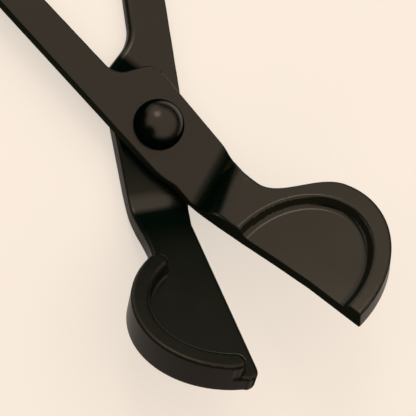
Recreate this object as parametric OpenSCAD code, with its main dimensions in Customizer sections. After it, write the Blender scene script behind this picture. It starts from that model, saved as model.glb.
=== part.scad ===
// Wick trimmer: scissors with a round two-part head on long looped handles.
// Two flat steel halves cross on a domed rivet. Past the fold the head is tilted
// up from the shanks, so that it lies flat in a jar while the handles rise.
// The upper half carries a tray that catches the cut wick. The lower half carries
// a plate with a raised guard round its outer edge.
//
// Frame: the origin is on the flat underside of the lower half, below the rivet.
// +Z runs up the rivet, and +X along the centre line, towards the head.
// Both halves are drawn closed, handle at -Y and head at +Y, on their own centre
// line. The lower half is then mirrored, and each is turned about Z.

/* [Pose] */
// Turn of each half away from the centre line, in degrees
half_opening = 15.5; // [12:0.5:28]

/* [Shanks] */
// Thickness of the upper half
upper_t = 3; // [2.6:0.1:3.4]
// Thickness of the lower half
lower_t = 4; // [3.4:0.1:4.4]
// Distance from the rivet to the outer edge of a shank
shank_out = 7.2; // [6.8:0.1:7.8]
// Distance from the rivet to the inner edge of a shank
shank_in = 8.5; // [8:0.1:9]
// Distance from the rivet back to the foot of the upper half's shoulder
upper_shoulder_x = 13.8; // [13:0.1:16]
// Angle of the upper half's shoulder to the centre line, in degrees
upper_shoulder_angle = 68; // [50:1:75]
// Distance from the rivet back to the foot of the lower half's shoulder
lower_shoulder_x = 19.2; // [17:0.1:20]
// Angle of the lower half's shoulder to the centre line, in degrees
lower_shoulder_angle = 47; // [42:1:60]

// Height of the pad round the rivet over the lower half's handle
pad_rise = 0.7; // [0.4:0.1:0.9]

/* [Handles] */
// Angle of the bar's outer edge to the centre line, in degrees
splay_out = 2.3; // [1.5:0.1:3]
// Angle of the bar's inner edge to the centre line, in degrees
splay_in = 3.3; // [2.8:0.1:4]
// Distance from the rivet to the middle of the finger loop
loop_reach = 95; // [90:1:105]
// Distance from the centre line to the middle of the finger loop
loop_offset = 15.6; // [15:0.1:18]
// Half of the finger loop's length, outside
loop_long = 26; // [24:0.5:28]
// Half of the finger loop's width, outside
loop_wide = 16.5; // [15.5:0.5:18]
// Width of the bar round the finger hole
loop_bar = 6; // [5:0.1:6.5]

/* [Head] */
// Angle of the head to the shanks, in degrees
head_tilt = 32.5; // [24:0.5:36]
// Distance from the rivet to the fold
fold_x = 16.5; // [16:0.1:17.5]
// Distance from the fold to the middle of the head
head_reach = 28.4; // [27.5:0.1:29.5]
// How far past the centre line the middle of each half head lies
head_drop = 3.8; // [3:0.1:4.2]
// Half of the tray's length, along its cutting edge
tray_long = 18.2; // [17:0.1:19]
// Depth of the tray, from its middle to the outside of its rim
tray_deep = 21.8; // [21:0.1:22.5]
// Thickness of the tray at its rim
tray_t = 5.5; // [5:0.1:6]
// Half of the length of the tray's hollow
hollow_long = 13.6; // [12.5:0.1:14]
// Depth of the tray's hollow, from its middle to the inside of the rim
hollow_deep = 16.9; // [15.5:0.1:17.5]
// How far the floor of the hollow lies below the rim
hollow_drop = 1.5; // [1:0.1:2]
// How far past the centre line the tray's cutting edge lies
tray_lap = 4.2; // [3.6:0.1:4.4]
// Half of the plate's length, along its cutting edge
plate_long = 17; // [16:0.1:17.5]
// Depth of the plate, from its middle to its outer edge
plate_deep = 21; // [20:0.1:21.5]
// How far past the centre line the plate's cutting edge lies
plate_lap = 3.1; // [2.6:0.1:3.4]
// Height of the guard above the plate
guard_h = 3.8; // [3:0.1:4.5]
// Width of the guard
guard_w = 3.8; // [3.2:0.1:4.4]

/* [Pivot] */
// Diameter of the rivet
rivet_d = 5; // [4:0.1:6]
// Diameter of the rivet's domed head
dome_d = 10.8; // [10:0.1:12]
// Height of the domed head
dome_h = 4.8; // [4:0.1:5.2]
// Diameter of the rivet's tail, spread flush into the lower half
tail_d = 7.6; // [6.6:0.1:8.4]
// Depth of the countersink round the tail
tail_h = 1.4; // [1:0.1:2]
// Diameter of the washer between the halves
washer_d = 12; // [11:0.1:13]
// Thickness of the washer between the halves
washer_t = 0.6; // [0.5:0.05:0.7]

/* [Hidden] */
$fn = 96;
black_steel = [0.16, 0.15, 0.14];
black_rivet = [0.1, 0.1, 0.1];
washer_steel = [0.45, 0.45, 0.46];
running_gap = 0.05;
upper_z = lower_t + washer_t;
upper_bar_in = 0.6;
lower_bar_in = 1.3;
neck_in = 5.8;
neck_extra = 1.8;
bend_reach = 2.6;
// Step where a neck leaves its shank, too small to see
seam = 0.05;
neck_top = shank_in - seam;
neck_x = fold_x - bend_reach;
overshoot = 1;
// Distance past the tip, and past either side, that cutting tools reach
clear = 60;
handle_end = loop_reach + loop_long + overshoot;

// Points round an ellipse from angle a0 to angle a1
function arc(cx, cy, rx, ry, a0, a1, steps) =
    [for (i = [0 : steps])
        let (a = a0 + (a1 - a0) * i / steps)
        [cx + rx * cos(a), cy + ry * sin(a)]];

// Points along a curve that leaves p0 towards p1 and reaches p3 from p2
function curve(p0, p1, p2, p3, steps = 10) =
    [for (i = [0 : steps])
        let (t = i / steps, s = 1 - t)
        s * s * s * p0 + 3 * s * s * t * p1 + 3 * s * t * t * p2 + t * t * t * p3];

// A round corner at p1, between p0 and p2
function corner(p0, p1, p2) = curve(p0, p0 + 0.6 * (p1 - p0), p2 + 0.6 * (p1 - p2), p2, 8);

// Seen from the side: the point u past the fold and w above the head's base plane
function head_point(u, w) =
    [fold_x + u * cos(head_tilt) - w * sin(head_tilt), u * sin(head_tilt) + w * cos(head_tilt)];

// Edges of the handle's bar at distance x along the centre line
function outer_edge(x) = -shank_out + x * tan(splay_out);
function inner_edge(x, bar_in) = bar_in + x * tan(splay_in);

// Sloping shoulder between the handle's bar and the wide part of the shank
function shoulder(foot_x, angle, bar_in) =
    let (foot = [-foot_x, inner_edge(-foot_x, bar_in)],
         top = [foot.x + (shank_in - foot.y) / tan(angle), shank_in],
         slope = [cos(angle), sin(angle)])
    concat(corner([foot.x - 4, inner_edge(foot.x - 4, bar_in)], foot, foot + 4 * slope),
           corner(top - 2.4 * slope, top, top + [2.6, 0]));

// Outline of a shank and its handle, up to the fold
module shank_outline(foot_x, angle, bar_in, lap) {
    loop_end = -loop_reach;
    shank_end = neck_x - overshoot / 2;
    difference() {
        union() {
            polygon(concat(
                [[shank_end, -lap - neck_extra], [neck_x - 2, -lap - neck_extra], [8, outer_edge(8)]],
                curve([-54, outer_edge(-54)], [-66, outer_edge(-66)],
                      [loop_end + loop_long, -loop_offset + 4], [loop_end + loop_long - 1, -loop_offset - 4]),
                [[loop_end, -loop_offset]],
                curve([loop_end + 4, -loop_offset + loop_wide - 0.3],
                      [loop_end + 17, -loop_offset + loop_wide - 0.3],
                      [-66, inner_edge(-66, bar_in)], [-54, inner_edge(-54, bar_in)]),
                shoulder(foot_x, angle, bar_in),
                [[shank_end, shank_in]]));
            polygon(arc(loop_end, -loop_offset, loop_long, loop_wide, 0, 355, 71));
        }
        polygon(arc(loop_end, -loop_offset, loop_long - loop_bar, loop_wide - loop_bar, 0, 355, 71));
    }
}

// Side of a neck and head, as a prism across the object
module side_profile(points) {
    translate([0, clear, 0])
        rotate([90, 0, 0])
            linear_extrude(2 * clear)
                polygon(points);
}

// Puts a shape drawn on the head's base plane onto the tilted head
module on_head() {
    translate([fold_x, 0, 0])
        rotate([0, -head_tilt, 0])
            children();
}

// Outline of the tray and its neck, on the head's base plane
module tray_outline() {
    neck_start = -bend_reach - 2 * overshoot;
    polygon(concat(
        [[neck_start, neck_top], [neck_start, -tray_lap - neck_extra + seam],
         [0, -tray_lap - neck_extra + seam], [9, -tray_lap - 1.2], [16, -tray_lap - 0.8],
         [24, -tray_lap - 0.4], [33, -tray_lap]],
        arc(head_reach, -head_drop, tray_long, tray_deep, -1, 110, 44),
        curve([head_reach - 6.2, tray_deep - head_drop - 1.3], [16.8, 14.6], [16.2, neck_in - 0.3],
              [10, neck_in]),
        curve([9, neck_in], [6, neck_in], [3, neck_top], [0, neck_top])));
}

// Outline of the plate and its neck, on the head's base plane
module plate_outline() {
    neck_start = -bend_reach - 2 * overshoot;
    polygon(concat(
        [[neck_start, neck_top], [neck_start, -plate_lap - neck_extra + seam],
         [0, -plate_lap - neck_extra + seam],
         [6, -plate_lap]],
        corner([head_reach + plate_long - 2.4, -plate_lap], [head_reach + plate_long, -plate_lap],
               [head_reach + plate_long, -plate_lap + 2.4]),
        arc(head_reach, -head_drop, plate_long, plate_deep, 10, 142, 44),
        curve([14, 8.7], [12.6, 7.4], [10, 7.4], [4, 8.2])));
}

// Outline of the guard, a band inside the plate's outer edge with round ends
module guard_outline() {
    tip_end = 17;
    neck_end = 141;
    mid_long = plate_long - guard_w / 2;
    mid_deep = plate_deep - guard_w / 2;
    intersection() {
        difference() {
            polygon(arc(head_reach, -head_drop, plate_long, plate_deep, 0, 355, 71));
            polygon(arc(head_reach, -head_drop, plate_long - guard_w, plate_deep - guard_w, 0, 355, 71));
        }
        polygon(concat([[head_reach, -head_drop]],
                       arc(head_reach, -head_drop, clear, clear, tip_end, neck_end, 12)));
    }
    for (a = [tip_end, neck_end])
        translate([head_reach + mid_long * cos(a), -head_drop + mid_deep * sin(a)])
            circle(d = guard_w * 0.92);
}

// Upper half: handle, shank and tray, one steel forging
module tray_half() {
    wall_foot = [fold_x + 1, upper_t];
    wall_top = head_point(8, tray_t);
    bend = corner([neck_x, 0], [fold_x, 0], head_point(bend_reach, 0));
    color(black_steel)
        rotate([0, 0, half_opening])
            translate([0, 0, upper_z])
                difference() {
                    union() {
                        linear_extrude(upper_t)
                            shank_outline(upper_shoulder_x, upper_shoulder_angle, upper_bar_in, tray_lap);
                        intersection() {
                            on_head()
                                translate([0, 0, -overshoot])
                                    linear_extrude(tray_t + 2 * overshoot)
                                        tray_outline();
                            side_profile(concat([[neck_x - overshoot, 0]], bend,
                                                [head_point(clear, 0), head_point(clear, tray_t), wall_top,
                                                 wall_foot, [neck_x - overshoot, upper_t]]));
                        }
                    }
                    on_head()
                        translate([0, 0, tray_t - hollow_drop])
                            linear_extrude(tray_t)
                                polygon(arc(head_reach + 0.6, -head_drop, hollow_long, hollow_deep, -40, 185, 60));
                    translate([0, 0, -overshoot])
                        cylinder(r = rivet_d / 2 + running_gap, h = upper_t + 2 * overshoot);
                }
}

// Lower half: handle, shank, plate and guard, one steel forging
module blade_half() {
    plate_t = lower_t;
    base_fold = fold_x + (plate_t / cos(head_tilt) - lower_t) / tan(head_tilt);
    bend = corner([neck_x, -lower_t], [base_fold, -lower_t],
                  [base_fold + bend_reach * cos(head_tilt), bend_reach * sin(head_tilt) - lower_t]);
    color(black_steel)
        rotate([0, 0, -half_opening])
            mirror([0, 1, 0])
                difference() {
                    union() {
                        intersection() {
                            linear_extrude(lower_t)
                                shank_outline(lower_shoulder_x, lower_shoulder_angle, lower_bar_in,
                                              plate_lap);
                            side_profile([[-handle_end, -overshoot], [fold_x, -overshoot],
                                          [fold_x, lower_t + overshoot], [-12.6, lower_t + overshoot],
                                          [-12.6, lower_t], [-15.8, lower_t - pad_rise],
                                          [-handle_end, lower_t - pad_rise]]);
                        }
                        translate([0, 0, lower_t])
                            intersection() {
                                on_head()
                                    translate([0, 0, -2 * plate_t])
                                        linear_extrude(2 * plate_t + overshoot)
                                            plate_outline();
                                side_profile(concat([[neck_x - overshoot, -lower_t]], bend,
                                                    [head_point(clear, -plate_t), head_point(clear, 0),
                                                     [fold_x, 0], [neck_x - overshoot, 0]]));
                            }
                        translate([0, 0, lower_t])
                            on_head()
                                translate([0, 0, -overshoot])
                                    linear_extrude(guard_h + overshoot)
                                        guard_outline();
                    }
                    translate([0, 0, -overshoot])
                        cylinder(d = rivet_d, h = lower_t + 2 * overshoot);
                    cylinder(d1 = tail_d, d2 = rivet_d, h = tail_h);
                }
}

// Rivet: domed head over the upper half, tail spread flush under the lower half
module pivot_rivet() {
    stack = upper_z + upper_t;
    ball_r = (pow(dome_d / 2, 2) + pow(dome_h, 2)) / (2 * dome_h);
    color(black_rivet) {
        cylinder(d = rivet_d, h = stack + overshoot);
        cylinder(d1 = tail_d, d2 = rivet_d, h = tail_h);
        intersection() {
            translate([0, 0, stack + dome_h - ball_r])
                sphere(ball_r);
            translate([0, 0, stack])
                cylinder(d = dome_d, h = dome_h + overshoot);
        }
    }
}

// Washer that keeps the halves a little apart, so that the heads don't rub
module friction_washer() {
    color(washer_steel)
        translate([0, 0, lower_t])
            difference() {
                cylinder(d = washer_d, h = washer_t);
                translate([0, 0, -overshoot])
                    cylinder(r = rivet_d / 2 + running_gap, h = washer_t + 2 * overshoot);
            }
}

tray_half();
blade_half();
pivot_rivet();
friction_washer();
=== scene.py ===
import math

import bmesh
import bpy
import numpy as np
from mathutils import Matrix, Vector


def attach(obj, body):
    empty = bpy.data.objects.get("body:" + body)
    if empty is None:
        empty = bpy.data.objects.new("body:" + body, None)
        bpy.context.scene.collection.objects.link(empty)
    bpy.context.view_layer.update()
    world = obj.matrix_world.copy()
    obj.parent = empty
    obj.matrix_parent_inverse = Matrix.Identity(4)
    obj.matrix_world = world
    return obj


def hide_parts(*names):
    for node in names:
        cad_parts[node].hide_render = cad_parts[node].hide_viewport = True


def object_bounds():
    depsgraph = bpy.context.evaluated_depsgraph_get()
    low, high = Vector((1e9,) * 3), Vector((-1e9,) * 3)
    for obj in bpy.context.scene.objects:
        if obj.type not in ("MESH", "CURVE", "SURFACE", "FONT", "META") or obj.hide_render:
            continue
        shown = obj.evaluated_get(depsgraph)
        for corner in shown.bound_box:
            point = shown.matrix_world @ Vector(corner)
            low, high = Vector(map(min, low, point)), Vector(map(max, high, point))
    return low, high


# Looks of a wick trimmer: two forged steel halves on a domed rivet, coated satin black.
# The tool's lengths are in mm until a mesh is made, and the studio's are in metres. Each half is
# drawn closed, with its head along +X from the rivet, as a distance to its surface: negative in
# the steel and positive outside it.
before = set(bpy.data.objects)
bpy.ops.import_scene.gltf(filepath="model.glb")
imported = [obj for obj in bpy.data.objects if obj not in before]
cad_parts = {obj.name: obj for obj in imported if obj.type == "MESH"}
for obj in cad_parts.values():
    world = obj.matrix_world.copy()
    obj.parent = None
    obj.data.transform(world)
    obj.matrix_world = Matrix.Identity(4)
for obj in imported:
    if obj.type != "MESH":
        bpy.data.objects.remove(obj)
cad_low, cad_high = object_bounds()

MM = 0.001

# ---- Lower half: loop, bar, shank, neck and guarded plate --------------------------------
# One drop-forged piece of carbon steel. The forging is trimmed, bent up at the neck and
# tumbled, which leaves every edge softly rounded, and then it is coated satin black.


def arc(centre, radii, start, end, steps=160):
    """Points round an ellipse, angles in degrees."""
    angle = np.radians(np.linspace(start, end, steps + 1))
    return np.column_stack([centre[0] + radii[0] * np.cos(angle),
                            centre[1] + radii[1] * np.sin(angle)])


def curve(p0, p1, p2, p3, steps=40):
    """Points along a curve that leaves p0 towards p1 and reaches p3 from p2."""
    t = np.linspace(0, 1, steps + 1)[:, None]
    p0, p1, p2, p3 = (np.array(p, float) for p in (p0, p1, p2, p3))
    return ((1 - t) ** 3 * p0 + 3 * (1 - t) ** 2 * t * p1
            + 3 * (1 - t) * t ** 2 * p2 + t ** 3 * p3)


def corner(p0, p1, p2, pull=0.6):
    """A round corner at p1, between p0 and p2."""
    p0, p1, p2 = (np.array(p, float) for p in (p0, p1, p2))
    return curve(p0, p0 + pull * (p1 - p0), p2 + pull * (p1 - p2), p2, 16)


def distance_to(outline, spacing=0.25, margin=6):
    """Signed distance to a closed outline, negative inside, as a function of x and y."""
    low = outline.min(0) - margin
    count = np.ceil((outline.max(0) + margin - low) / spacing).astype(int) + 1
    x = low[0] + spacing * np.arange(count[0])[:, None]
    y = low[1] + spacing * np.arange(count[1])[None, :]
    nearest = np.full(count, np.inf)
    inside = np.zeros(count, bool)
    for (ax, ay), (bx, by) in zip(outline, np.roll(outline, -1, axis=0)):
        dx, dy = bx - ax, by - ay
        length2 = dx * dx + dy * dy
        if length2 < 1e-12:
            continue
        along = np.clip(((x - ax) * dx + (y - ay) * dy) / length2, 0, 1)
        nearest = np.minimum(nearest, (x - ax - along * dx) ** 2 + (y - ay - along * dy) ** 2)
        if dy:
            inside ^= ((ay > y) != (by > y)) & (x < ax + (y - ay) * dx / dy)
    table = np.sqrt(nearest) * np.where(inside, -1, 1)

    def distance(px, py):
        gx = np.clip((px - low[0]) / spacing, 0, count[0] - 1.001)
        gy = np.clip((py - low[1]) / spacing, 0, count[1] - 1.001)
        i, j = gx.astype(int), gy.astype(int)
        fx, fy = gx - i, gy - j
        return ((table[i, j] * (1 - fx) + table[i + 1, j] * fx) * (1 - fy)
                + (table[i, j + 1] * (1 - fx) + table[i + 1, j + 1] * fx) * fy)

    return distance


def both(a, b, blend):
    """Where two solids overlap, with the edge between them rounded over blend mm."""
    return np.maximum(a, b) + np.maximum(blend - np.abs(a - b), 0) ** 2 / (4 * blend)


def either(a, b, blend):
    """Two solids joined, with the inner corner between them filled over blend mm."""
    return -both(-a, -b, blend)


def ramp(x, start, end):
    """Rises smoothly from 0 at start to 1 at end."""
    t = np.clip((x - start) / (end - start), 0, 1)
    return t * t * (3 - 2 * t)


def ellipse(x, y, centre, radii):
    """Close estimate of the signed distance to an ellipse."""
    dx, dy = (x - centre[0]) / radii[0], (y - centre[1]) / radii[1]
    k = np.hypot(dx, dy)
    steepness = np.hypot(dx / radii[0], dy / radii[1])
    near_centre = k < 0.3
    return np.where(near_centre, -min(radii) * 0.6, k * (k - 1) / np.maximum(steepness, 1e-6))


# Sizes that the two halves share. The heads tilt up from the shanks at the fold.
half_opening = math.radians(15.5)
tilt = math.radians(32.5)
fold = 16.5
shank_out, shank_in = -7.6, 8.5
splay_out, splay_in = math.tan(math.radians(2.3)), math.tan(math.radians(3.3))
bar_end, web_end, far = -54, -66, 60
head_middle = head_x, head_y = 28.4, -3.8
loop_middle = loop_x, loop_y = -95.0, -15.6
loop_radii, loop_bar = (26.0, 16.5), 6.0


def outer_edge(x):
    return shank_out + x * splay_out


def inner_edge(x, bar_in):
    return bar_in + x * splay_in


def shank_outline(foot_x, angle, bar_in, lap):
    """Plan of a bar and shank, with the web that runs out into the finger loop."""
    lean = math.radians(angle)
    slope = np.array([math.cos(lean), math.sin(lean)])
    foot = np.array([-foot_x, inner_edge(-foot_x, bar_in)])
    top = np.array([foot[0] + (shank_in - foot[1]) / math.tan(lean), shank_in])
    return np.vstack([
        [[far, -lap - 1.8], [11.9, -lap - 1.8]],
        corner([10.5, -lap - 2.2], [8.5, outer_edge(8.5)], [5, outer_edge(5)]),
        curve([bar_end, outer_edge(bar_end)], [web_end, outer_edge(web_end)],
              [loop_x + 26, loop_y + 4], [loop_x + 25, loop_y - 4]),
        [loop_middle],
        curve([loop_x + 4, loop_y + 16.2], [loop_x + 17, loop_y + 16.2],
              [web_end, inner_edge(web_end, bar_in)], [bar_end, inner_edge(bar_end, bar_in)]),
        corner([foot[0] - 3, inner_edge(foot[0] - 3, bar_in)], foot, foot + 3 * slope),
        corner(top - 2.4 * slope, top, top + [2.6, 0]),
        [[far, shank_in]],
    ])


def handle(bar, x, y):
    """Distance to the plan of a bar, shank and finger loop."""
    loop = ellipse(x, y, loop_middle, loop_radii)
    gap = ellipse(x, y, loop_middle, (loop_radii[0] - loop_bar, loop_radii[1] - loop_bar))
    return np.maximum(either(bar(x, y), loop, 3.0), -gap)


def head_plane(x, z):
    """Distance along the tilted head from the fold, and height over its base plane."""
    return ((x - fold) * math.cos(tilt) + z * math.sin(tilt),
            z * math.cos(tilt) - (x - fold) * math.sin(tilt))


def in_head(x):
    """0 in the shank and 1 in the head, for joining their plans."""
    return ramp(x, 10, 15)


def edge_width(x):
    """How far an edge is rounded: more on the finger loops than on the shanks and head."""
    return 0.7 + 1.5 * ramp(-x, 50, 72)


lower_t = 4.0
lower_bar_in = 1.9
plate_radii, plate_lap = (17.2, 21.3), 3.1
guard_w, guard_h = 3.8, 3.8
guard_tip, guard_neck = math.radians(17), math.radians(141)
pad_rise = 0.7
chamfer_w = 0.9
lower_bar = distance_to(shank_outline(20.0, 47, lower_bar_in, plate_lap))
plate_tip = head_x + plate_radii[0]
plate = distance_to(np.vstack([
    [[-20, shank_in], [-20, -plate_lap - 1.8], [-1, -plate_lap - 1.8]],
    [[1.5, -plate_lap - 0.9], [6, -plate_lap]],
    corner([plate_tip - 2.4, -plate_lap], [plate_tip, -plate_lap], [plate_tip, -plate_lap + 2.4]),
    arc(head_middle, plate_radii, 10, 142),
    curve([14, 8.7], [12.6, 7.4], [10, 7.4], [4, 8.2]),
    [[0, shank_in]],
]))


def guard(u, v):
    """Distance to the plan of the guard: a band with round ends, open at the cutting edge."""
    inner = (plate_radii[0] - guard_w, plate_radii[1] - guard_w)
    middle = (plate_radii[0] - guard_w / 2, plate_radii[1] - guard_w / 2)
    body = -ellipse(u, v, head_middle, inner)
    ends = []
    for angle, way in ((guard_tip, -1), (guard_neck, 1)):
        end = (head_x + middle[0] * math.cos(angle), head_y + middle[1] * math.sin(angle))
        onward = np.array([-middle[0] * math.sin(angle), middle[1] * math.cos(angle)]) * way
        onward /= np.linalg.norm(onward)
        body = np.maximum(body, (u - end[0]) * onward[0] + (v - end[1]) * onward[1])
        ends.append(np.hypot(u - end[0], v - end[1]) - guard_w / 2)
    return np.minimum(body, np.minimum(*ends))


def lower_solid(x, y, z):
    """Distance to the lower half, z measured from its top face."""
    u, n = head_plane(x, z)
    plan = handle(lower_bar, x, y) * (1 - in_head(x)) + plate(u, y) * in_head(x)
    behind_pad = ramp(-x - 0.7 * (y - 8), 12.0, 13.8)
    before_pad = ramp(x, fold - 2.4, fold + 1.2)
    top = either(z + pad_rise * (behind_pad + before_pad), n, 2.2)
    top = either(top, both(guard(u, y), n - guard_h, 0.9), 0.7)
    under = both(-z - lower_t, -n - lower_t, 3.0)
    bar_middle = (outer_edge(x) + inner_edge(x, lower_bar_in)) / 2
    chamfer = chamfer_w * ramp(-x, -2, 6) * ramp(y - bar_middle, 0, 1)
    return both(both(plan, top, edge_width(x) + chamfer), under, edge_width(x))


def slope_of(solid, points, reach):
    """Direction in which a solid's distance grows, at some points."""
    steps = np.eye(3) * reach
    return np.column_stack([(solid(*(points + s).T) - solid(*(points - s).T)) / (2 * reach)
                            for s in steps])


def crossings(solid, low, high, cell, block=16):
    """Where a solid's surface cuts the edges of a lattice, and the four cells round each cut."""
    blocks = [range(math.ceil(c)) for c in (np.array(high) - low) / (cell * block)]
    corners = np.stack(np.meshgrid(*blocks, indexing="ij"), -1).reshape(-1, 3) * block
    middle = low + (corners + block / 2) * cell
    corners = corners[np.abs(solid(*middle.T)) < block * cell * 1.2]
    steps = np.arange(block + 1)
    lattice = np.stack(np.meshgrid(steps, steps, steps, indexing="ij"), -1)
    cells, points = [], []
    for some in np.array_split(corners, max(1, len(corners) // 60)):
        index = some[:, None, None, None, :] + lattice
        value = solid(*np.moveaxis(low + index * cell, -1, 0))
        for axis in range(3):
            here = [slice(None)] + [slice(0, block)] * 3
            there = list(here)
            there[axis + 1] = slice(1, block + 1)
            a, b = value[tuple(here)], value[tuple(there)]
            found = (a < 0) != (b < 0)
            at = index[tuple(here)][found]
            a, b = a[found], b[found]
            point = low + at * cell
            point[:, axis] += cell * a / (a - b)
            side, up = np.eye(3, dtype=int)[[(axis + 1) % 3, (axis + 2) % 3]]
            ring = np.stack([at, at - side, at - side - up, at - up], 1)
            ring[a >= 0] = ring[a >= 0][:, ::-1]
            cells.append(ring)
            points.append(point)
    return np.concatenate(points), np.concatenate(cells)


def coat_and_painted_shade_of(at, normal, quads):
    """Each face's coat: 0 on flats, 1 on sides, 2 (painted shade) on sides that face -Y or lean to
    face up.
    """
    over_head = normal[:, 2] * math.cos(tilt) - normal[:, 0] * math.sin(tilt)
    upward = np.where(at[:, 0] < fold, normal[:, 2], over_head)[quads].mean(1)
    side = np.abs(upward) < 0.66
    painted_shade_side = side & ((normal[quads, 1].mean(1) < -0.3) | (upward > 0.3))
    return side.astype(np.int32) + painted_shade_side


def skin(name, solid, low, high, turn):
    """The surface of a half as an even mesh of four-sided faces, turned into its place."""
    cell = 0.3
    points, cells = crossings(solid, np.array(low, float), high, cell)
    key = ((cells[..., 0] + 4) * 4096 + cells[..., 1] + 4) * 4096 + cells[..., 2] + 4
    _, faces = np.unique(key.ravel(), return_inverse=True)
    hits = np.bincount(faces)
    spread = np.repeat(points, 4, axis=0)
    at = np.column_stack([np.bincount(faces, spread[:, k]) / hits for k in range(3)])
    for _ in range(3):
        slope = slope_of(solid, at, 0.06)
        at -= slope * (solid(*at.T) / np.maximum((slope * slope).sum(1), 0.1))[:, None]
    normal = slope_of(solid, at, 0.15)
    normal /= np.linalg.norm(normal, axis=1)[:, None]
    turn = np.array(turn)
    quads = faces.reshape(-1, 4)
    if np.linalg.det(turn[:3, :3]) < 0:
        quads = quads[:, ::-1]
    mesh = bpy.data.meshes.new(name)
    mesh.from_pydata(((at @ turn[:3, :3].T + turn[:3, 3]) * MM).tolist(), [], quads.tolist())
    mesh.polygons.foreach_set("use_smooth", [True] * len(quads))
    mesh.polygons.foreach_set("material_index", coat_and_painted_shade_of(at, normal, quads))
    mesh.normals_split_custom_set_from_vertices((normal @ turn[:3, :3].T).tolist())
    mesh.update()
    piece = bpy.data.objects.new(name, mesh)
    bpy.context.scene.collection.objects.link(piece)
    return piece


def turned(angle, height, mirrored=False):
    """Turn about the rivet that takes a half from closed to its place."""
    flip = Matrix.Diagonal((1, -1 if mirrored else 1, 1, 1))
    return Matrix.Translation((0, 0, height)) @ Matrix.Rotation(angle, 4, "Z") @ flip


def linear(colour):
    """An sRGB hex colour as linear red, green, blue and alpha."""
    parts = [int(colour[k:k + 2], 16) / 255 for k in (1, 3, 5)]
    return [p / 12.92 if p <= 0.04045 else ((p + 0.055) / 1.055) ** 2.4 for p in parts] + [1]


def add(tree, kind, settings=None, links=None):
    """Adds a node, with its settings and its input links."""
    node = tree.nodes.new(kind)
    for name, value in (settings or {}).items():
        if name in node.inputs:
            node.inputs[name].default_value = value
        else:
            setattr(node, name, value)
    for name, source in (links or {}).items():
        tree.links.new(source, node.inputs[name])
    return node


def empty_material(name):
    material = bpy.data.materials.new(name)
    material.use_nodes = True
    material.node_tree.nodes.clear()
    return material


# Black electro-coat, baked on over tumbled steel: a satin skin some 20 micrometres thick.
# It shows a soft sheen, faint cloudiness about 11 mm across, and the tumbled steel's fine grain,
# drawn about 0.4 mm wide, coarser than it is, so that it shows.
clouds_per_mm, grains_per_mm = 0.09, 2.6


def satin_coat(name, colour, rough, shine=0.5):
    material = empty_material(name)
    tree = material.node_tree
    place = add(tree, "ShaderNodeTexCoord").outputs["Object"]
    cloud = add(tree, "ShaderNodeTexNoise", {"Scale": clouds_per_mm / MM, "Detail": 4.0,
                                             "Roughness": 0.55}, {"Vector": place}).outputs["Fac"]
    grain = add(tree, "ShaderNodeTexNoise", {"Scale": grains_per_mm / MM, "Detail": 3.0,
                                             "Roughness": 0.6}, {"Vector": place}).outputs["Fac"]
    polish = add(tree, "ShaderNodeMapRange",
                 {"From Min": 0.3, "From Max": 0.7, "To Min": rough - 0.04, "To Max": rough + 0.05},
                 {"Value": cloud})
    tint = add(tree, "ShaderNodeMix", {"data_type": "RGBA"}, {"Factor": cloud})
    tint.inputs["A"].default_value = linear(colour)
    tint.inputs["B"].default_value = [c * 1.25 for c in linear(colour)[:3]] + [1]
    bump = add(tree, "ShaderNodeBump", {"Strength": 0.25, "Distance": 0.04 * MM},
               {"Height": grain})
    coat = add(tree, "ShaderNodeBsdfPrincipled", {"IOR": 1.5, "Specular IOR Level": shine},
               {"Base Color": tint.outputs["Result"], "Roughness": polish.outputs["Result"],
                "Normal": bump.outputs["Normal"]})
    add(tree, "ShaderNodeOutputMaterial", {}, {"Surface": coat.outputs["BSDF"]})
    return material


def paint_shade_and_highlight(material, direction, stops):
    """Paints shade and highlight on a coat through its shine, by where it lies: stops of distance
    in a direction, and shine.
    """
    tree = material.node_tree
    first, last = stops[0][0], stops[-1][0]
    place = add(tree, "ShaderNodeTexCoord").outputs["Object"]
    along = add(tree, "ShaderNodeVectorMath", {"operation": "DOT_PRODUCT"}, {0: place})
    along.inputs[1].default_value = direction
    share = add(tree, "ShaderNodeMapRange", {"From Min": first * MM, "From Max": last * MM},
                {"Value": along.outputs["Value"]})
    table = add(tree, "ShaderNodeValToRGB", {}, {"Fac": share.outputs["Result"]})
    elements = table.color_ramp.elements
    while len(elements) < len(stops):
        elements.new(0.5)
    for element, (distance, shine) in zip(elements, stops):
        element.position = (distance - first) / (last - first)
        element.color = (shine, shine, shine, 1)
    result = table.outputs["Color"]
    coat = next(node for node in tree.nodes if node.type == "BSDF_PRINCIPLED")
    shine_socket = coat.inputs["Specular IOR Level"]
    if shine_socket.is_linked:
        earlier = shine_socket.links[0].from_socket
        result = add(tree, "ShaderNodeMath", {"operation": "MULTIPLY"},
                     {0: earlier, 1: result}).outputs["Value"]
    tree.links.new(result, shine_socket)


# The sides are set duller than the flats: partly the trimmed edges' rougher finish, partly painted
# shade.
# The sides that face -Y or lean to face up get painted shade in full, a flat dark colour with no
# shine.
# The lower half's flats get painted shade as bands of lowered shine beside the rivet, past the
# bend, under the upper shoulder and over the plate, and a painted highlight as a band of raised
# shine before the bend.
side_coat = satin_coat("black_electrocoat_side", "#120d06", 0.36, 0.1)
painted_shade_coat = satin_coat("black_electrocoat_painted_shade", "#191d17", 0.4, 0.0)
blade_coat = satin_coat("black_electrocoat_blade", "#010b06", 0.24)
along_blade = (math.cos(half_opening), -math.sin(half_opening), 0)
under_shoulder = (0.515, -0.857, 0)
paint_shade_and_highlight(blade_coat, along_blade,
           [(-5.0, 0.5), (-1.0, 0.12), (7.0, 0.13), (12.8, 0.24), (14.8, 0.6), (16.4, 0.6),
            (17.8, 0.03), (21.0, 0.03), (28.0, 0.3), (34.0, 0.35)])
paint_shade_and_highlight(blade_coat, under_shoulder, [(-10.6, 1.0), (-9.0, 0.02), (-5.0, 0.02), (-3.0, 1.0)])

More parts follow.
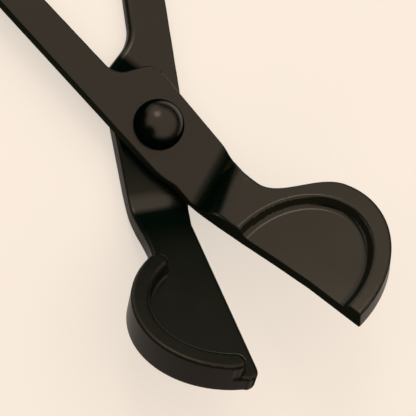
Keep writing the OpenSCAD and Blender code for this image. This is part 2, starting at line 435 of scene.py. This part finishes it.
blade = skin("blade_half_forging", lower_solid, (-123, -34, -5), (56, 20, 32),
             turned(-half_opening, lower_t, mirrored=True))
for coat in (blade_coat, side_coat, painted_shade_coat):
    blade.data.materials.append(coat)
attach(blade, "lower")
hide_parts("blade_half")

# ---- Friction washer --------------------------------------------------------------------
# A plain ring cut from bright carbon steel strip. It sits on the rivet between the halves and
# keeps them apart, so that the heads don't rub.

washer_t = 0.6


# Bright carbon steel strip, brushed one way, so it has fine straight lines. They are drawn about
# 0.3 mm apart, coarser than they are, so that they show.
def brushed_steel(name, colour, rough, line):
    material = empty_material(name)
    tree = material.node_tree
    place = add(tree, "ShaderNodeTexCoord").outputs["Object"]
    stretched = add(tree, "ShaderNodeMapping", {"Scale": (1.0, 0.03, 1.0)}, {"Vector": place})
    lines = add(tree, "ShaderNodeTexNoise", {"Scale": 1 / (line * MM), "Detail": 2.0},
                {"Vector": stretched.outputs["Vector"]}).outputs["Fac"]
    polish = add(tree, "ShaderNodeMapRange", {"To Min": rough - 0.1, "To Max": rough + 0.1},
                 {"Value": lines})
    bump = add(tree, "ShaderNodeBump", {"Strength": 0.2, "Distance": 0.02 * MM},
               {"Height": lines})
    steel = add(tree, "ShaderNodeBsdfPrincipled", {"Metallic": 1.0, "Base Color": linear(colour)},
                {"Roughness": polish.outputs["Result"], "Normal": bump.outputs["Normal"]})
    add(tree, "ShaderNodeOutputMaterial", {}, {"Surface": steel.outputs["BSDF"]})
    return material


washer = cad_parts["friction_washer"]
washer.data.materials.clear()
washer.data.materials.append(brushed_steel("brushed_carbon_steel", "#b4b2ae", 0.4, 0.3))

# ---- Upper half: loop, bar, shank, neck and tray ----------------------------------------
# The other forging, from the same steel and with the same coat, but thinner in the shank. A
# hollow pressed in its half-round head holds the trimmed wick.

upper_t = 3.0
tray_radii, tray_t, tray_lap = (17.7, 22.0), 5.5, 4.2
neck_in = 5.8
hollow_middle, hollow_radii = (head_x + 0.6, head_y), (14.1, 17.7)
hollow_drop, hollow_draft, hollow_scale = 2.0, 0.78, 0.79
bend_lean, bend_skew, bend_middle = math.radians(65), 0.3, 1.0
crest_rise = 0.19
upper_bar = distance_to(shank_outline(13.8, 68, 0.75, tray_lap))
tray = distance_to(np.vstack([
    [[-20, shank_in], [-20, -tray_lap - 1.8], [0, -tray_lap - 1.8], [9, -tray_lap - 1.5]],
    [[16, -tray_lap - 1.1], [24, -tray_lap - 0.5], [33, -tray_lap]],
    arc(head_middle, tray_radii, -1, 104),
    curve([head_x - 4.3, tray_radii[1] + head_y - 0.65], [17.9, 15.6], [16.0, neck_in - 0.1],
          [10, neck_in]),
    curve([7, neck_in], [4, neck_in], [0, shank_in], [-3, shank_in]),
]))


def upper_solid(x, y, z):
    """Distance to the upper half, z measured from its underside."""
    u, n = head_plane(x, z)
    plan = handle(upper_bar, x, y) * (1 - in_head(x)) + tray(u, y) * in_head(x)
    bend_foot = fold + 0.3 - bend_skew * (y - bend_middle)
    wall = (bend_foot - x) * math.sin(bend_lean) + (z - upper_t) * math.cos(bend_lean)
    crest = crest_rise * (y - bend_middle) * ramp(-u, -9, -2)
    top = either(z - upper_t, both(n - tray_t - crest, wall, 1.6), 2.0)
    under = both(-z, -n, 3.0)
    body = both(both(plan, top, edge_width(x)), under, edge_width(x))
    hollow_wall = ellipse(u, y, hollow_middle, hollow_radii) + hollow_draft * (tray_t - n)
    hollow = both(hollow_wall * hollow_scale, tray_t - hollow_drop - n, 0.6)
    return both(body, -hollow, 0.35)


# The upper half's coat is set dull in one band across the bend: painted shade in the bend.
tray_coat = satin_coat("black_electrocoat_tray", "#010b06", 0.24)
across_bend = (0.84, 0.542, 0)
paint_shade_and_highlight(tray_coat, across_bend, [(13.8, 0.5), (15.4, 0.02), (17.6, 0.02), (19.2, 0.5)])

tray_piece = skin("tray_half_forging", upper_solid, (-123, -34, -1), (56, 20, 36),
                  turned(half_opening, lower_t + washer_t))
for coat in (tray_coat, side_coat, painted_shade_coat):
    tray_piece.data.materials.append(coat)
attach(tray_piece, "upper")
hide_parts("tray_half")

# ---- Rivet ------------------------------------------------------------------------------
# A solid steel rivet with a nearly half-round head. It goes down through both halves, and its
# tail is spread flush into the lower one. It is coated like them.
shank_radius = 2.5
dome_radius, dome_height, dome_rim = 5.4, 4.8, 0.25
stack = lower_t + washer_t + upper_t


def lathe(name, profile, steps=96):
    """A round piece from its profile of radius and height about the rivet's axis."""
    turns = np.linspace(0, 2 * math.pi, steps, endpoint=False)
    radius, height = np.array(profile).T
    points = np.stack([np.outer(np.cos(turns), radius), np.outer(np.sin(turns), radius),
                       np.tile(height, (steps, 1))], -1).reshape(-1, 3)
    rows = len(profile)
    faces = [(i * rows + k, j * rows + k, j * rows + k + 1, i * rows + k + 1)
             for i, j in zip(range(steps), [*range(1, steps), 0]) for k in range(rows - 1)]
    mesh = bpy.data.meshes.new(name)
    mesh.from_pydata((points * MM).tolist(), [], faces)
    work = bmesh.new()
    work.from_mesh(mesh)
    bmesh.ops.remove_doubles(work, verts=work.verts, dist=1e-4 * MM)
    bmesh.ops.recalc_face_normals(work, faces=work.faces)
    work.to_mesh(mesh)
    work.free()
    mesh.polygons.foreach_set("use_smooth", [True] * len(mesh.polygons))
    piece = bpy.data.objects.new(name, mesh)
    bpy.context.scene.collection.objects.link(piece)
    return piece


tail = [[0, 0], [3.6, 0], [3.8, 0.1], [3.6, 0.4], [shank_radius, 1.4]]
under_head = [[shank_radius, stack - 0.2], [dome_radius - 0.2, stack], [dome_radius, stack + 0.08]]
dome = [[dome_radius * math.cos(a), stack + dome_rim + (dome_height - dome_rim) * math.sin(a)]
        for a in np.linspace(0, math.pi / 2, 48)]
rivet = lathe("rivet_turned", tail + under_head + dome)

# The coat is set dull at the foot of the head and glossy at its top: painted shade, which keeps its
# rim dark.
rivet_coat = satin_coat("black_electrocoat_rivet", "#030806", 0.24)
paint_shade_and_highlight(rivet_coat, (0, 0, 1), [(stack + 2.8, 0.0), (stack + 3.3, 0.25), (stack + 3.9, 0.55)])
rivet.data.materials.append(rivet_coat)
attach(rivet, "lower")
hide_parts("pivot_rivet")

# ---- Studio -----------------------------------------------------------------------------
# Cream paper that glows a little of itself near the tool: painted light, which lightens the shadows
# there. The sky is cream overhead, with a dark horizon, a bright patch and a dark patch, and there
# is one softbox.
floor_size, floor_gap = 3, 0.0002
floor_mesh = bpy.data.meshes.new("floor")
floor_mesh.from_pydata([(-floor_size, -floor_size, 0), (floor_size, -floor_size, 0),
                        (floor_size, floor_size, 0), (-floor_size, floor_size, 0)],
                       [], [(0, 1, 2, 3)])
floor = bpy.data.objects.new("floor", floor_mesh)
bpy.context.scene.collection.objects.link(floor)
floor.location.z = cad_low[2] - floor_gap
paper = empty_material("cream_paper")
spot = add(paper.node_tree, "ShaderNodeTexCoord").outputs["Object"]
away = add(paper.node_tree, "ShaderNodeVectorMath", {"operation": "LENGTH"}, {0: spot})
# Painted light: the paper glows most near the tool, which lightens the shadows round it.
glow = add(paper.node_tree, "ShaderNodeMapRange",
           {"interpolation_type": "SMOOTHSTEP", "From Min": 0.08, "From Max": 0.3,
            "To Min": 0.57, "To Max": 0.1}, {"Value": away.outputs["Value"]})
sheet = add(paper.node_tree, "ShaderNodeBsdfPrincipled",
            {"Base Color": linear("#b4b8be"), "Roughness": 0.9,
             "Emission Color": linear("#fff6ea")},
            {"Emission Strength": glow.outputs["Result"]})
add(paper.node_tree, "ShaderNodeOutputMaterial", {}, {"Surface": sheet.outputs["BSDF"]})
floor_mesh.materials.append(paper)

world = bpy.data.worlds.new("studio")
bpy.context.scene.world = world
world.use_nodes = True
sky = world.node_tree
direction = add(sky, "ShaderNodeTexCoord").outputs["Generated"]


def patch(towards, start, end):
    """A soft round patch of the sky, 0 outside and 1 at its middle."""
    near = add(sky, "ShaderNodeVectorMath", {"operation": "DOT_PRODUCT"}, {0: direction})
    near.inputs[1].default_value = Vector(towards).normalized()
    return add(sky, "ShaderNodeMapRange",
               {"interpolation_type": "SMOOTHSTEP", "From Min": start, "From Max": end},
               {"Value": near.outputs["Value"]}).outputs["Result"]


height = add(sky, "ShaderNodeSeparateXYZ", {}, {"Vector": direction}).outputs["Z"]
horizon = add(sky, "ShaderNodeMapRange",
              {"interpolation_type": "SMOOTHSTEP", "From Min": 0.62, "From Max": 0.24},
              {"Value": height}).outputs["Result"]
window = patch((-0.9, 0.05, 0.35), 0.88, 0.96)
camera_side = patch((0.17, -0.81, 0.5), 0.86, 0.97)
dark = add(sky, "ShaderNodeMath", {"operation": "SUBTRACT", "use_clamp": True},
           {0: horizon, 1: window}).outputs["Value"]
dark = add(sky, "ShaderNodeMath", {"operation": "MAXIMUM"},
           {0: dark, 1: camera_side}).outputs["Value"]
sky_colour = add(sky, "ShaderNodeMix", {"data_type": "RGBA"}, {"Factor": dark})
sky_colour.inputs["A"].default_value = linear("#ffe2c6")
sky_colour.inputs["B"].default_value = linear("#0a0a08")
sky.links.new(sky_colour.outputs["Result"], sky.nodes["Background"].inputs["Color"])
sky.nodes["Background"].inputs["Strength"].default_value = 1.0


def softbox(name, direction, distance, size, power, colour):
    """A square area light that looks at the rivet."""
    light = bpy.data.lights.new(name, "AREA")
    light.size = size
    light.energy = power
    light.color = linear(colour)[:3]
    lamp = bpy.data.objects.new(name, light)
    bpy.context.scene.collection.objects.link(lamp)
    lamp.location = Vector(direction).normalized() * distance
    lamp.rotation_euler = Vector(direction).to_track_quat("Z", "Y").to_euler()


softbox("key_softbox", (-0.6, 0.08, 0.78), 1.0, 0.3, 1.0, "#ffe6cc")

azimuth, elevation, roll = math.radians(0.79), math.radians(68.12), math.radians(63.46)
target, camera_distance = Vector((20.16, 3.28, 4.0)) * MM, 271.35
towards = Vector((math.cos(elevation) * math.sin(azimuth),
                  -math.cos(elevation) * math.cos(azimuth), math.sin(elevation)))
level = (-towards).cross(Vector((0, 0, 1))).normalized()
upright = level.cross(-towards)
right = level * math.cos(roll) + upright * math.sin(roll)
up = -level * math.sin(roll) + upright * math.cos(roll)
camera_data = bpy.data.cameras.new("camera")
camera_data.lens = 110.39
camera_data.sensor_width = 36
camera_data.clip_start = 0.01
camera = bpy.data.objects.new("camera", camera_data)
bpy.context.scene.collection.objects.link(camera)
camera.matrix_world = (Matrix.Translation(target + towards * camera_distance * MM)
                       @ Matrix((right, up, towards)).transposed().to_4x4())
bpy.context.scene.camera = camera
bpy.context.scene.view_settings.view_transform = "Standard"
